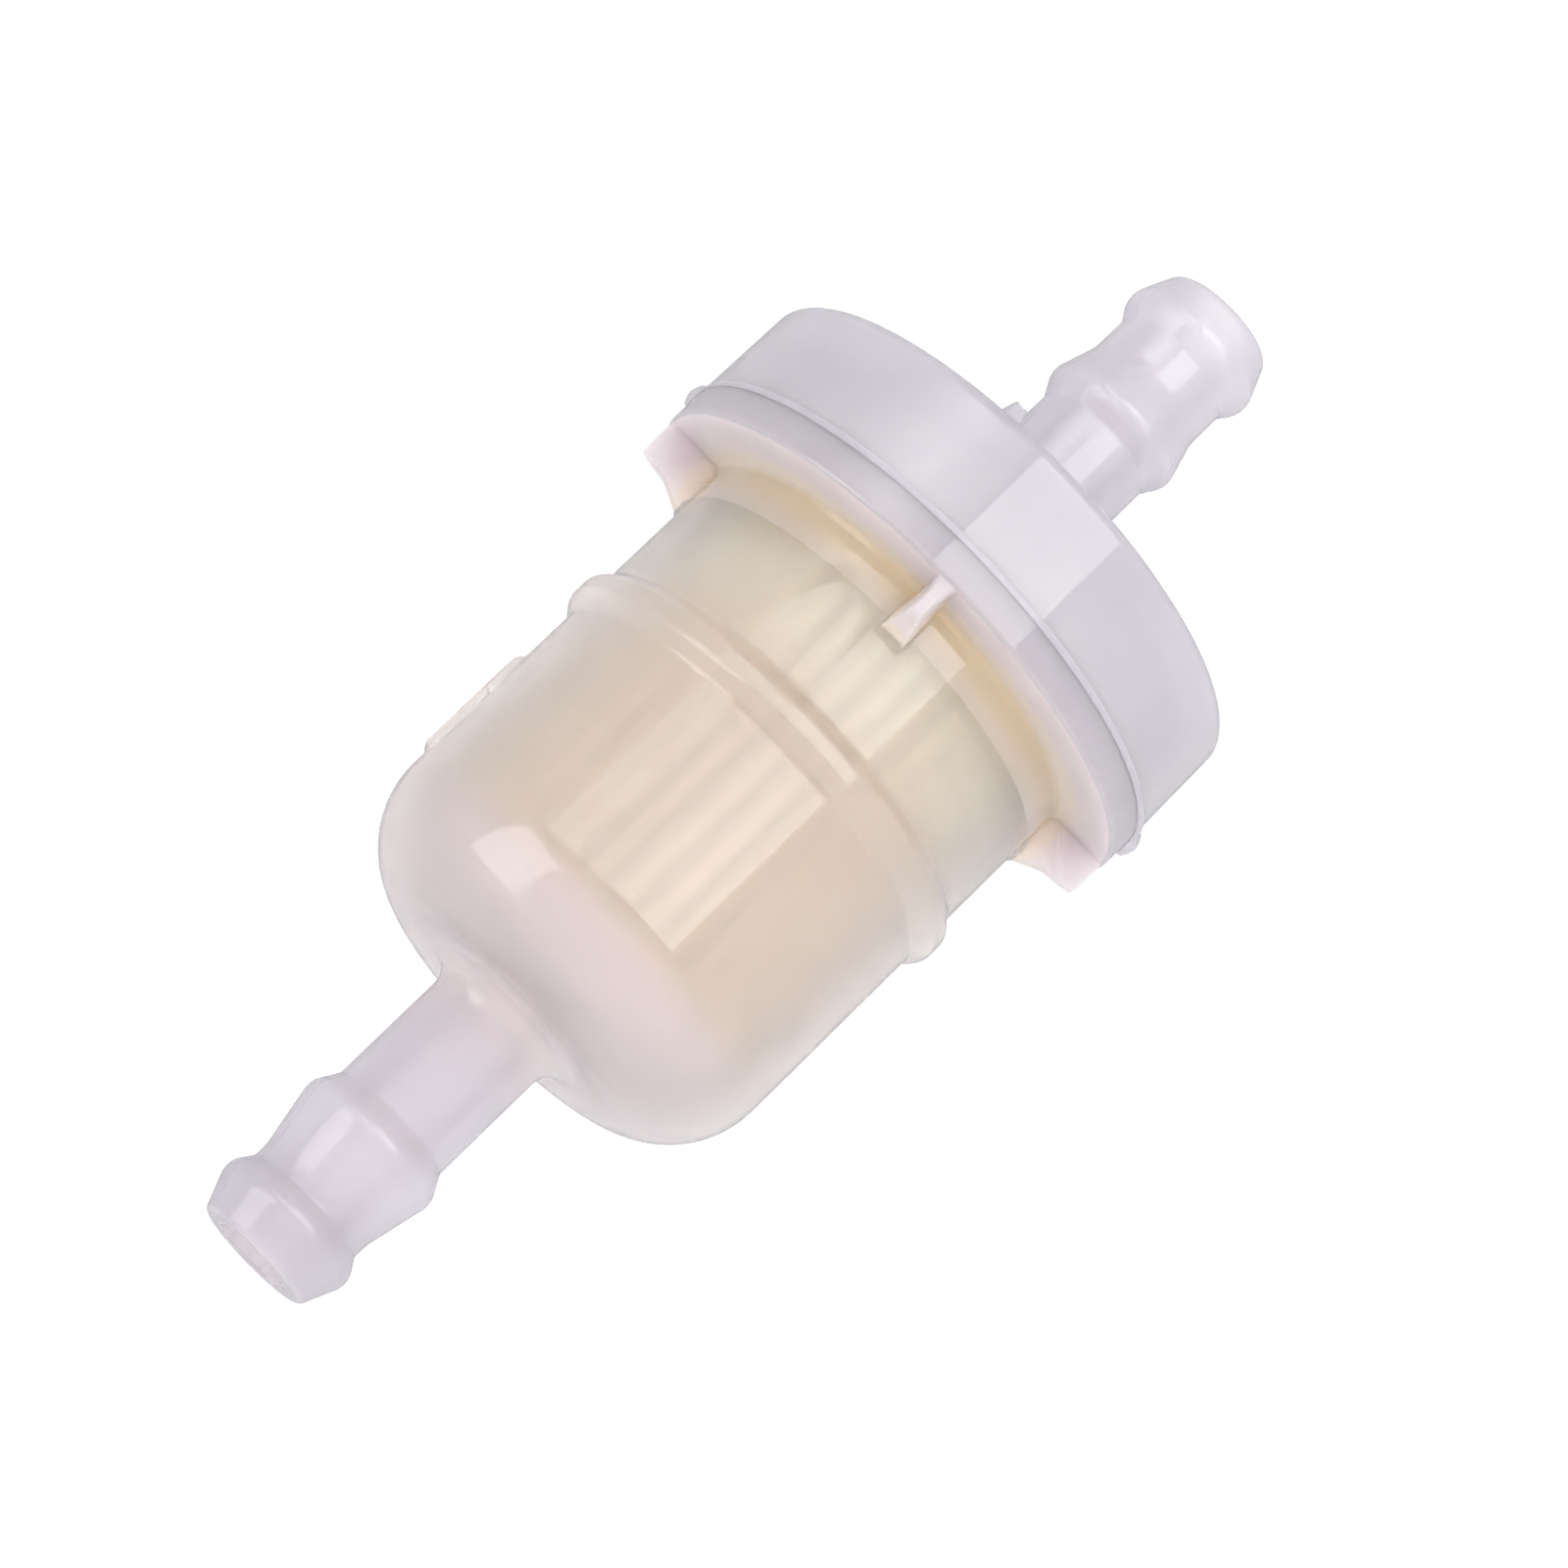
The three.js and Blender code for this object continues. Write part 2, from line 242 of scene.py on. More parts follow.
def revolve(name, profile, look, angles, warp=None, close_rows=True):
    """A solid of revolution about X. Angle 0 is +Z and grows towards +Y. warp moves (x, r) by angle."""
    x = np.repeat(profile[:, :1], len(angles), 1)
    r = np.repeat(profile[:, 1:2], len(angles), 1)
    theta = np.repeat(angles[None, :], len(profile), 0)
    if warp is not None:
        x, r = warp(x, r, theta)
    points = np.stack([x, r * np.sin(theta), r * np.cos(theta)], -1).reshape(-1, 3)
    return mesh_piece(name, points, grid_faces(len(profile), len(angles), close_rows), look)


def even_angles(count):
    """Angles spread evenly over one turn."""
    return np.linspace(0, FULL_TURN, count, endpoint=False)


def around(angle, half_span, step):
    """Angles close together round one direction."""
    count = int(2 * half_span / step)
    return [angle + half_span * (2 * i / count - 1) for i in range(count + 1)]


def merged_angles(*groups, spacing=math.radians(0.12)):
    """All the angles in one turn, sorted, without near repeats."""
    every = sorted(a % FULL_TURN for group in groups for a in group)
    kept = [every[0]]
    for a in every[1:]:
        if a - kept[-1] > spacing and FULL_TURN + kept[0] - a > spacing:
            kept.append(a)
    return np.array(kept)


# ---------------------------------------------------------------- material nodes


def shader_of(made):
    """The Principled shader of a material."""
    return made.node_tree.nodes["Principled BSDF"]


def material(name, colour, roughness, **sockets):
    """A Principled material. Other sockets are named with underscores in place of spaces."""
    made = bpy.data.materials.new(name)
    made.use_nodes = True
    shader = shader_of(made)
    shader.inputs["Base Color"].default_value = (*colour, 1)
    shader.inputs["Roughness"].default_value = roughness
    for socket, value in sockets.items():
        shader.inputs[socket.replace("_", " ")].default_value = value
    return made


def object_place(tree):
    """The shaded point in the object's own space, in metres."""
    return tree.nodes.new("ShaderNodeTexCoord").outputs["Object"]


def noise(made, scale, detail=3.0, roughness=0.5, stretch=(1, 1, 1)):
    """A noise texture in object space, with features of about 1 / scale metres."""
    tree = made.node_tree
    place = object_place(tree)
    mapping = tree.nodes.new("ShaderNodeMapping")
    mapping.inputs["Scale"].default_value = stretch
    texture = tree.nodes.new("ShaderNodeTexNoise")
    texture.inputs["Scale"].default_value = scale
    texture.inputs["Detail"].default_value = detail
    texture.inputs["Roughness"].default_value = roughness
    tree.links.new(place, mapping.inputs["Vector"])
    tree.links.new(mapping.outputs["Vector"], texture.inputs["Vector"])
    return texture.outputs["Fac"]


def colour_between(made, pattern, low, high, at=(0.3, 0.7)):
    """Base colour that goes from low to high as a pattern goes between two values."""
    tree = made.node_tree
    ramp = tree.nodes.new("ShaderNodeValToRGB")
    first, last = ramp.color_ramp.elements
    first.position, last.position = at
    first.color = (*low, 1)
    last.color = (*high, 1)
    tree.links.new(pattern, ramp.inputs["Fac"])
    tree.links.new(ramp.outputs["Color"], shader_of(made).inputs["Base Color"])


def value_between(made, pattern, socket, low, high, at=(0.3, 0.7)):
    """One of the shader's values that goes from low to high as a pattern goes between two values."""
    tree = made.node_tree
    span = tree.nodes.new("ShaderNodeMapRange")
    span.inputs["From Min"].default_value, span.inputs["From Max"].default_value = at
    span.inputs["To Min"].default_value = low
    span.inputs["To Max"].default_value = high
    tree.links.new(pattern, span.inputs["Value"])
    tree.links.new(span.outputs["Result"], shader_of(made).inputs[socket])


def bump(made, pattern, distance, strength):
    """Unevenness of the surface. distance is the height of the bumps in metres."""
    tree = made.node_tree
    node = tree.nodes.new("ShaderNodeBump")
    node.inputs["Distance"].default_value = distance
    node.inputs["Strength"].default_value = strength
    tree.links.new(pattern, node.inputs["Height"])
    tree.links.new(node.outputs["Normal"], shader_of(made).inputs["Normal"])


def along_axis(tree):
    """Distance along the filter's axis."""
    axes = tree.nodes.new("ShaderNodeSeparateXYZ")
    tree.links.new(object_place(tree), axes.inputs["Vector"])
    return axes.outputs["X"]


def from_axis(tree):
    """Distance from the filter's axis."""
    flat = tree.nodes.new("ShaderNodeVectorMath")
    flat.operation = "MULTIPLY"
    flat.inputs[1].default_value = (0, 1, 1)
    length = tree.nodes.new("ShaderNodeVectorMath")
    length.operation = "LENGTH"
    tree.links.new(object_place(tree), flat.inputs[0])
    tree.links.new(flat.outputs["Vector"], length.inputs[0])
    return length.outputs["Value"]


def tint(made, distance, start, full, colour):
    """Mixes the base colour towards another as a distance goes from start to full, in millimetres."""
    tree = made.node_tree
    base = shader_of(made).inputs["Base Color"]
    amount = tree.nodes.new("ShaderNodeMapRange")
    amount.interpolation_type = "SMOOTHSTEP"
    amount.inputs["From Min"].default_value = start * MM
    amount.inputs["From Max"].default_value = full * MM
    mixed = tree.nodes.new("ShaderNodeMixRGB")
    mixed.inputs["Color2"].default_value = (*colour, 1)
    tree.links.new(distance(tree), amount.inputs["Value"])
    tree.links.new(amount.outputs["Result"], mixed.inputs["Fac"])
    tree.links.new(base.links[0].from_socket, mixed.inputs["Color1"])
    tree.links.new(mixed.outputs["Color"], base)


# ---------------------------------------------------------------- materials


def nylon(name, transmission, low, high, roughness, ior, depth=0.0012, coat=1.0):
    """Milky natural nylon under a glossy skin; thick stretches let less through than the thin wall."""
    made = material(
        name, high, roughness, IOR=ior, Transmission_Weight=transmission, Subsurface_Weight=1.0,
        Subsurface_Scale=depth, Coat_Weight=coat, Coat_Roughness=0.02, Coat_IOR=1.6,
    )
    shader_of(made).inputs["Subsurface Radius"].default_value = (1, 0.9, 0.95)
    colour_between(made, noise(made, scale=260, detail=4), low, high)
    value_between(made, noise(made, scale=420, detail=2), "Roughness", roughness - 0.05, roughness + 0.05)
    bump(made, noise(made, scale=900, detail=2), distance=0.00001, strength=0.25)
    return made


def flash_nylon():
    """Nylon squeezed from the weld: the same milky kind, but rough."""
    made = material(
        "weld_flash", (0.86, 0.83, 0.88), 0.4,
        IOR=1.3, Transmission_Weight=0.5, Coat_Weight=1.0, Coat_Roughness=0.08,
    )
    colour_between(made, noise(made, scale=1500, detail=5), (0.85, 0.81, 0.86), (0.91, 0.88, 0.92))
    bump(made, noise(made, scale=2400, detail=4), distance=0.00008, strength=0.6)
    return made


def inner_nylon():
    """Cream, satin nylon of the plate, the core and the cup."""
    made = material("inner_nylon", (0.87, 0.78, 0.68), 0.6, IOR=1.2, Transmission_Weight=0.5)
    colour_between(made, noise(made, scale=600), (0.88, 0.80, 0.72), (0.93, 0.86, 0.78))
    bump(made, noise(made, scale=1800), distance=0.00002, strength=0.4)
    return made


def filter_paper():
    """Resin-treated paper with fibres along the pleats, cream at the inlet's end and yellower at the
    outlet's. It is also painted lighter towards the outlet, a painted light under the flange and plate,
    and lighter in the pleats' valleys, a painted light that evens out their shade."""
    made = material("filter_paper", (0.94, 0.74, 0.42), 0.9, Subsurface_Weight=0.9, Subsurface_Scale=0.0014)
    shader_of(made).inputs["Subsurface Radius"].default_value = (1, 0.9, 0.8)
    fibre = noise(made, scale=1600, detail=6, roughness=0.65, stretch=(0.35, 1, 1))
    colour_between(made, fibre, (0.83, 0.62, 0.36), (0.90, 0.70, 0.44))
    # Painted light: yellower and lighter towards the outlet, where the flange and plate shade the paper
    tint(made, along_axis, 0.0, 9.5, (1.0, 0.80, 0.45))
    # Painted light: the pleats' valleys, nearer the axis, are painted lighter to even out their shade
    tint(made, from_axis, 10.0, 7.0, (1.0, 0.90, 0.68))
    bump(made, fibre, distance=0.00008, strength=0.7)
    return made


def adhesive():
    """Amber potting adhesive with a wet-looking skin."""
    made = material(
        "potting_adhesive", (0.75, 0.60, 0.22), 0.25,
        Subsurface_Weight=0.4, Subsurface_Scale=0.001, Coat_Weight=0.6, Coat_Roughness=0.08,
    )
    colour_between(made, noise(made, scale=500, detail=4), (0.88, 0.74, 0.36), (0.95, 0.84, 0.48))
    bump(made, noise(made, scale=700), distance=0.0001, strength=0.5)
    return made


def wall_nylon():
    """The thin wall, which lets the most light through; pinker on the shoulder, and painted lighter past
    the rib, a painted light that lifts the shade towards the flange.
    """
    made = nylon("shell_nylon", 0.91, (0.93, 0.885, 0.865), (0.97, 0.925, 0.905), 0.82, 1.4)
    tint(made, along_axis, -9.5, -14.5, (0.94, 0.89, 0.89))
    # Painted light: the wall past the rib is painted lighter, towards the shaded corner under the flange
    tint(made, along_axis, 0.5, 5.0, (1.0, 0.98, 0.96))
    return made


def flange_nylon():
    """Cloudier nylon of the flange and the lugs, with a painted amber glow towards the wall: lighter
    there, a painted light that fills the shade in the corner under the flange.
    """
    made = nylon(
        "shell_nylon_flange", 0.15, (0.62, 0.555, 0.575), (0.67, 0.605, 0.625), 0.6, 1.25,
        depth=0.0035, coat=0.3,
    )
    # Painted light: a lighter amber glow towards the wall, in the shaded corner under the flange
    tint(made, from_axis, 13.4, 11.8, (0.74, 0.655, 0.565))
    return made


def amber_nylon():
    """The stretch of wall between the lugs, which the adhesive behind it tints amber; it is also painted
    lighter towards the flange, a painted light in the shaded corner under it.
    """
    made = nylon(
        "shell_nylon_amber", 0.5, (0.73, 0.665, 0.59), (0.77, 0.705, 0.63), 0.8, 1.25, depth=0.002,
    )
    # Partly the adhesive's amber, partly painted light: lighter towards the flange, where the corner is in
    # shade
    tint(made, along_axis, AMBER_LOOK_X, 8.8, (0.84, 0.72, 0.53))
    return made


def inlet_nylon():
    """The inlet spigot's nylon, lighter at the bowl and darker at the tip."""
    made = nylon("shell_nylon_inlet", 0.55, (0.70, 0.67, 0.71), (0.74, 0.71, 0.75), 0.8, 1.3)
    tint(made, along_axis, -20.5, -17.0, (0.79, 0.73, 0.73))
    tint(made, along_axis, -27.0, -32.0, (0.62, 0.59, 0.63))
    return made


THIN_NYLON = wall_nylon()
FLANGE_NYLON = flange_nylon()
AMBER_NYLON = amber_nylon()
INLET_NYLON = inlet_nylon()
CAP_NYLON = nylon("shell_nylon_cap", 0.55, (0.735, 0.71, 0.75), (0.775, 0.75, 0.79), 0.8, 1.3)
FLASH = flash_nylon()
INNER = inner_nylon()
PAPER = filter_paper()
ADHESIVE = adhesive()


def give_look(piece, look, belongs):
    """Gives another material to the faces whose (x, r) in millimetres pass the test."""
    piece.data.materials.append(look)
    index = len(piece.data.materials) - 1
    for face in piece.data.polygons:
        x, y, z = face.center / MM
        if belongs(x, math.hypot(y, z)):
            face.material_index = index


# ---------------------------------------------------------------- mouldings


def spigot_corners(tip_x, inwards, inner_barb):
    """Corners of a spigot's outside, from the bore's edge at the tip to the foot of the inner barb."""
    corners = [
        (0.0, BORE_R, 0.25),
        (0.0, TIP_R, 0.4),
        (TIP_BARB["peak"], TIP_BARB["peak_r"], TIP_BARB["round"]),
        (TIP_BARB["foot"], NECK_R, BARB_FOOT_ROUND["tip"]),
        (inner_barb["start"], NECK_R, BARB_START_ROUND),
        (inner_barb["peak"], inner_barb["peak_r"], inner_barb["round"]),
        (inner_barb["foot"], NECK_R, BARB_FOOT_ROUND["inner"]),
    ]
    return [(tip_x + inwards * d, r, size) for d, r, size in corners]


def lug_ridge():
    """The profile up a lug's middle, from the wall to the flange's rim."""
    x = LUG["x"]
    tip_r = LUG["tip_r"]
    return np.array([
        (LUG["start_x"], BOWL_R),
        (LUG["root_x"], BOWL_R + LUG["root_rise"]),
        (x - 0.12, LUG["knee_r"]),
        (x, tip_r - 0.35),
        (x + 0.12, tip_r - 0.1),
        (x + 0.4, tip_r),
        (FLANGE_X, tip_r),
    ])


def shares_along(line):
    """How far along a line each of its points lies, from 0 to 1."""
    steps = np.linalg.norm(np.diff(line, axis=0), axis=1)
    lengths = np.concatenate([[0], np.cumsum(steps)])
    return lengths / lengths[-1]


def lug_shift(x, r, theta):
    """Carries the corner under the flange out to the lugs' ridges, which are a quarter turn apart."""
    ridge = lug_ridge()
    start_x = LUG["start_x"]
    on_wall = (x > start_x) & (x <= FLANGE_X + 1e-6) & (r > BOWL_R - 0.01) & (r < BOWL_R + 0.6)
    on_flange = (np.abs(x - FLANGE_X) < 0.02) & (r >= BOWL_R) & (r <= LUG["tip_r"] + 1e-6)
    wall_length = FLANGE_X - start_x
    whole_length = wall_length + LUG["tip_r"] - BOWL_R
    length = np.where(on_flange, wall_length + np.clip(r - BOWL_R, 0, None), x - start_x)
    share = np.clip(length / whole_length, 0, 1)
    stops = shares_along(ridge)
    lug_x = np.interp(share, stops, ridge[:, 0])
    lug_r = np.interp(share, stops, ridge[:, 1])
    middle = np.round(theta / QUARTER_TURN) * QUARTER_TURN
    across = np.abs(np.sin(theta - middle) * lug_r)
    rise = np.clip((lug_r - BOWL_R) / (LUG["tip_r"] - BOWL_R), 0, 1)
    half = LUG["foot_half"] + (LUG["tip_half"] - LUG["foot_half"]) * rise
    inside = smoothstep(half + LUG["edge"], half - LUG["edge"], across)
    weight = np.where(on_wall | on_flange, inside, 0)
    return x + (lug_x - x) * weight, r + (lug_r - r) * weight


def arrow_height(x, theta):
    """1 inside the flow arrow's outline on the +Y side, 0 outside, with soft edges."""
    turned = theta - QUARTER_TURN
    length, edge = ARROW["length"], ARROW["edge"]
    along = x - ARROW["x"]
    across = np.abs(np.sin(turned) * BOWL_R)
    in_head = (length - along) / ARROW["head"] * ARROW["head_half"]
    half = np.where(along < length - ARROW["head"], ARROW["shaft_half"], in_head)
    inside = smoothstep(half + edge, half - edge, across) * (np.cos(turned) > 0)
    return inside * smoothstep(-edge, edge, along) * smoothstep(length + edge, length - edge, along)


def parting_ridge(theta, r):
    """Height of the thin line where the mould's halves met, on both sides."""
    across = np.abs(np.sin(theta - PARTING["angle"])) * r
    return PARTING["height"] * np.exp(-((across / PARTING["width"]) ** 2))


def parting_angles():
    """Angles close together over both parting lines."""
    sides = (PARTING["angle"], PARTING["angle"] + math.pi)
    return [around(angle, math.radians(4), math.radians(0.8)) for angle in sides]


def bowl_outside():
    """The bowl's outer profile, from the bore's edge at the tip to the flange's mouth."""
    rib_x, rib_r = RIB["x"], BOWL_R + RIB["height"]
    return rounded(
        [
            *spigot_corners(TIP_IN_X, 1, INLET_BARB),
            (BOWL_END_X - BOWL_CROWN, NECK_R, NECK_FILLET),
            (BOWL_END_X, BOWL_R, SHOULDER_ROUND),
            (rib_x - RIB["foot"], BOWL_R, RIB["blend"]),
            (rib_x - RIB["top"], rib_r, RIB["edge"]),
            (rib_x + RIB["top"], rib_r, RIB["edge"]),
            (rib_x + RIB["foot"], BOWL_R, RIB["blend"]),
            (FLANGE_X, BOWL_R, FLANGE_FOOT_ROUND),
            (FLANGE_X, FLANGE_R, FLANGE_RIM_ROUND),
            (BOWL_MOUTH_X, FLANGE_R, MOUTH_ROUND),
            (BOWL_MOUTH_X, RECESS_R, 0.0),
        ],
        step=0.22, turn=math.radians(6), closed=False,
    )


def bowl_inside():
    """The bowl's inner profile, from the flange's mouth back to the bore at the tip."""
    inner_r = BOWL_R - BOWL_WALL
    inner_x = BOWL_END_X + BOWL_WALL
    return rounded(
        [
            (BOWL_MOUTH_X, RECESS_R, 0.0),
            (RECESS_X, RECESS_R, 0.1),
            (RECESS_X, inner_r, 0.3),
            (inner_x, inner_r, SHOULDER_ROUND - BOWL_WALL),
            (inner_x, BORE_R, 0.5),
            (TIP_IN_X, BORE_R, 0.0),
        ],
        step=1.5, closed=False,
    )


def bowl_angles():
    """Angles of the bowl's columns, close together over the lugs, the arrow and the parting lines."""
    lugs = (around(k * QUARTER_TURN, math.radians(6), math.radians(0.5)) for k in range(LUG["count"]))
    arrow = around(QUARTER_TURN, math.radians(11), math.radians(0.7))
    return merged_angles(even_angles(120), *lugs, arrow, *parting_angles())


def build_bowl():
    """The larger moulding: inlet spigot, bowl, rib, arrow, lugs and flange."""
    outside = bowl_outside()
    inside = bowl_inside()

    def warp(x, r, theta):
        outer = np.zeros_like(x, bool)
        outer[: len(outside)] = True
        wall = outer & (np.abs(r - BOWL_R) < 0.01)
        lifted = r + np.where(wall, ARROW["height"] * arrow_height(x, theta), 0)
        moved_x, moved_r = lug_shift(x, lifted, theta)
        x = np.where(outer, moved_x, x)
        r = np.where(outer, moved_r, lifted)
        spigot = outer & (x < BOWL_END_X - 0.5) & (x > TIP_IN_X + 0.6)
        return x, r + np.where(spigot, parting_ridge(theta, r), 0)

    def on_flange(x, r):
        return x > FLANGE_LOOK_X and r > BOWL_R + WALL_BAND

    def between_lugs(x, r):
        return AMBER_LOOK_X < x < FLANGE_X and abs(r - BOWL_R) < WALL_BAND

    def on_rim(x, r):
        return x > FLANGE_X and r > FLANGE_R - 0.2

    def on_spigot(x, r):
        return x < BOWL_END_X + 0.2 and BORE_R + 0.2 < r < NECK_R + 1.9

    profile = np.concatenate([outside, inside[1:-1]])
    bowl = revolve("inlet_bowl_shell", profile, THIN_NYLON, bowl_angles(), warp)
    # The flange and lugs take nylon with a painted amber glow towards the wall
    give_look(bowl, FLANGE_NYLON, on_flange)
    # The wall between the lugs takes nylon painted lighter towards the flange
    give_look(bowl, AMBER_NYLON, between_lugs)
    give_look(bowl, CAP_NYLON, on_rim)
    give_look(bowl, INLET_NYLON, on_spigot)
    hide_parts("inlet_bowl")
    return bowl


def build_cap():
    """The smaller moulding: skirt, flat top and outlet spigot."""
    inner_r = FLANGE_R - CAP_WALL
    inner_x = CAP_TOP_X - CAP_WALL
    profile = rounded(
        [
            (CAP_MOUTH_X, inner_r, 0.1),
            (CAP_MOUTH_X, FLANGE_R, MOUTH_ROUND),
            (CAP_TOP_X, CAP_TOP_R, 0.7),
            (CAP_TOP_X, NECK_R, 0.6),
            *reversed(spigot_corners(TIP_OUT_X, -1, OUTLET_BARB)),
            (inner_x, BORE_R, 0.4),
            (inner_x, inner_r, 0.5),
        ],
        step=0.4, turn=math.radians(6),
    )

    def warp(x, r, theta):
        spigot = (x > CAP_TOP_X + 0.8) & (x < TIP_OUT_X - 0.6) & (r > NECK_R - 0.1)
        return x, r + np.where(spigot, parting_ridge(theta, r), 0)

    def on_outside(x, r):
        return x > CAP_TOP_X - 0.9 and r > BORE_R + 0.2 or r > FLANGE_R - 0.4

    angles = merged_angles(even_angles(180), *parting_angles())
    cap = revolve("outlet_cap_shell", profile, THIN_NYLON, angles, warp)
    give_look(cap, CAP_NYLON, on_outside)
    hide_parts("outlet_cap")
    return cap


def build_gate():
    """Stub left on the cap where its runner was broken off: a short taper with a ragged end."""
    rings = 5
    sides = 14
    points = []
    for i in range(rings):
        t = i / (rings - 1)
        for k in range(sides):
            a = FULL_TURN * k / sides
            ragged = 0.1 * math.sin(3 * a + 1) + 0.07 * math.sin(5 * a)
            radius = GATE["radius"] * (1.1 - 0.45 * t) * (1 + ragged * t)
            height = GATE["height"] * t * (1 + 0.35 * ragged * t)
            points.append((radius * math.cos(a), radius * math.sin(a), height))
    faces = grid_faces(rings, sides, close_rows=False)
    faces += [tuple(range(sides)), tuple(range(rings * sides - sides, rings * sides))]
    gate = mesh_piece("cap_gate_stub", points, faces, CAP_NYLON)
    turned = Matrix.Rotation(-GATE["turn"], 4, "X")
    place = turned @ Matrix.Translation(Vector((CAP_TOP_X, 0, GATE["from_axis"])) * MM)
    gate.data.transform(place @ Matrix.Rotation(QUARTER_TURN, 4, "Y"))
    return gate


def burr(theta, side):
    """1 in the middle of a burr, fading to 0 on both sides of it. side is 1 for +Y and -1 for -Y."""
    from_middle = theta - side * QUARTER_TURN
    offset = np.arctan2(np.sin(from_middle), np.cos(from_middle))
    return np.exp(-((offset / BURR_SPREAD) ** 2))


def burr_tail(theta):
    """1 where the -Y burr trails off along the seam, 0 elsewhere, with soft ends."""
    turned = theta - FULL_TURN * (theta > math.pi)
    return smoothstep(*TAIL_START, turned) * smoothstep(*TAIL_END, turned)


def flash_profile():
    """The flash's profile: a thin web in the seam and a rounded fin that stands out of it."""
    web = 0.1
    one_side = [
        (web, FLASH_INNER_R),
        (web, FLANGE_R - 0.12),
        (FLASH_HALF_WIDTH, FLANGE_R + FLASH_FOOT),
        (0.11, FLANGE_R + 0.08),
        (0.06, FLANGE_R + 0.12),
    ]
    profile = [(SEAM_X - offset, r) for offset, r in one_side]
    profile.append((SEAM_X, FLANGE_R + FLASH_TOP))
    profile += [(SEAM_X + offset, r) for offset, r in reversed(one_side)]
    return np.array(profile)


def build_flash():
    """Ragged fin of nylon squeezed from the seam, with a burr at each side."""
    waves = (5, 9, 14, 23, 37, 61)
    lobes = [(k, rng.uniform(0, FULL_TURN), rng.uniform(0.3, 1)) for k in waves]
    half_gap = (CAP_MOUTH_X - BOWL_MOUTH_X) / 2
    foot_r = FLANGE_R + FLASH_FOOT

    def ragged(theta):
        return sum(w * np.sin(k * theta + p) for k, p, w in lobes) / sum(w for _, _, w in lobes)

    def warp(x, r, theta):
        lump = burr(theta, 1) * 0.85 + burr(theta, -1)
        tail = burr_tail(theta)
        stand = -0.012 + 0.008 * ragged(theta) + 0.2 * tail + 0.45 * lump
        half = half_gap + 0.03 + 0.06 * tail + 0.55 * lump
        side = (x - SEAM_X) / FLASH_HALF_WIDTH * (1 - 0.3 * (r > FLANGE_R + 0.1))
        is_fin = r > FLANGE_R - 0.1
        fin_x = SEAM_X - 0.12 * lump + side * half
        fin_r = foot_r + stand * (r - foot_r) / (FLASH_TOP - FLASH_FOOT)
        return np.where(is_fin, fin_x, x), np.where(is_fin, fin_r, r)

    burrs = (around(side * QUARTER_TURN, math.radians(16), math.radians(0.6)) for side in (-1, 1))
    angles = merged_angles(even_angles(300), *burrs)
    flash = revolve("weld_flash", flash_profile(), FLASH, angles, warp)
    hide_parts("weld_flash_ring")
    return flash


# ---------------------------------------------------------------- element


def pleat_line(crest_r):
    """Middle of the folded sheet as (y, z) points, once round, a little uneven from pleat to pleat."""
    pitch = FULL_TURN / PLEATS
    line = []
    for i in range(PLEATS):
        crest = i * pitch + rng.uniform(-0.006, 0.006)
        top = crest_r - rng.uniform(0, 0.12)
        halfway = 0.5 * (top + PAPER_ROOT_R)
        places = [(share, top - drop) for share, drop in CREST_FOLD]
        places.append((0.27, halfway))
        places += [(share, PAPER_ROOT_R + rise) for share, rise in ROOT_FOLD]
        places.append((0.73, halfway))
        for share, r in places:
            angle = crest + share * pitch
            line.append((r * math.sin(angle), r * math.cos(angle)))
    return np.array(line)


def build_paper():
    """Pleated paper with rounded folds: the sheet's two sides, and a strip that joins them at each end."""
    low, high = (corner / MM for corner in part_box("pleated_paper"))
    centre = pleat_line(high.z - 0.2)
    along = np.roll(centre, -1, 0) - np.roll(centre, 1, 0)
    along /= np.linalg.norm(along, axis=1)[:, None]
    normal = np.stack([along[:, 1], -along[:, 0]], 1)
    rows = 7
    columns = len(centre)
    points = []
    faces = []
    for side in (1, -1):
        base = len(points)
        ring = centre + normal * PAPER_HALF_SHEET * side
        for k in range(rows):
            x = low.x + (high.x - low.x) * k / (rows - 1)
            points += [(x, y, z) for y, z in ring]
        quads = grid_faces(rows, columns, close_rows=False)
        faces += [tuple(base + corner for corner in quad) for quad in quads]
    other_side = rows * columns
    for row in (0, rows - 1):
        for j in range(columns):
            a = row * columns + j
            b = row * columns + (j + 1) % columns
            faces.append((a, b, b + other_side, a + other_side))
    paper = mesh_piece("pleated_paper_folds", points, faces, PAPER)
    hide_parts("pleated_paper")
    return paper


def element_ring(name, node, look, corners):
    """A ring or disc of the element with rounded edges, in place of a plain CAD one."""
    profile = rounded(corners, step=0.8, turn=math.radians(15))
    piece = revolve(name, profile, look, even_angles(120))
    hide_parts(node)
    return piece


def build_top_plate():
    """Ring between bowl and cap, with a rim that fits the bowl's recess."""
    low, high = (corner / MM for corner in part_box("element_top_plate"))
    top_x = low.x + PLATE["thick"]
    return element_ring("top_plate_disc", "element_top_plate", INNER, [
        (low.x, PLATE["hole_r"], EDGE_ROUND),
        (low.x, high.z, EDGE_ROUND),
        (high.x, high.z, EDGE_ROUND),
        (high.x, PLATE["rim_inner_r"], EDGE_ROUND),
        (top_x, PLATE["rim_inner_r"], EDGE_ROUND),
        (top_x, PLATE["hole_r"], EDGE_ROUND),
    ])


def build_potting_top():
    """Bead of adhesive between the paper and the plate."""
    low, high = (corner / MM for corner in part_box("potting_top"))
    return element_ring("potting_top_bead", "potting_top", ADHESIVE, [
        (low.x, BEAD_INNER_R, 0.15),
        (low.x + 0.2, high.z, 0.45),
        (high.x, high.z - 0.1, 0.1),
        (high.x, BEAD_INNER_R, 0.1),
    ])


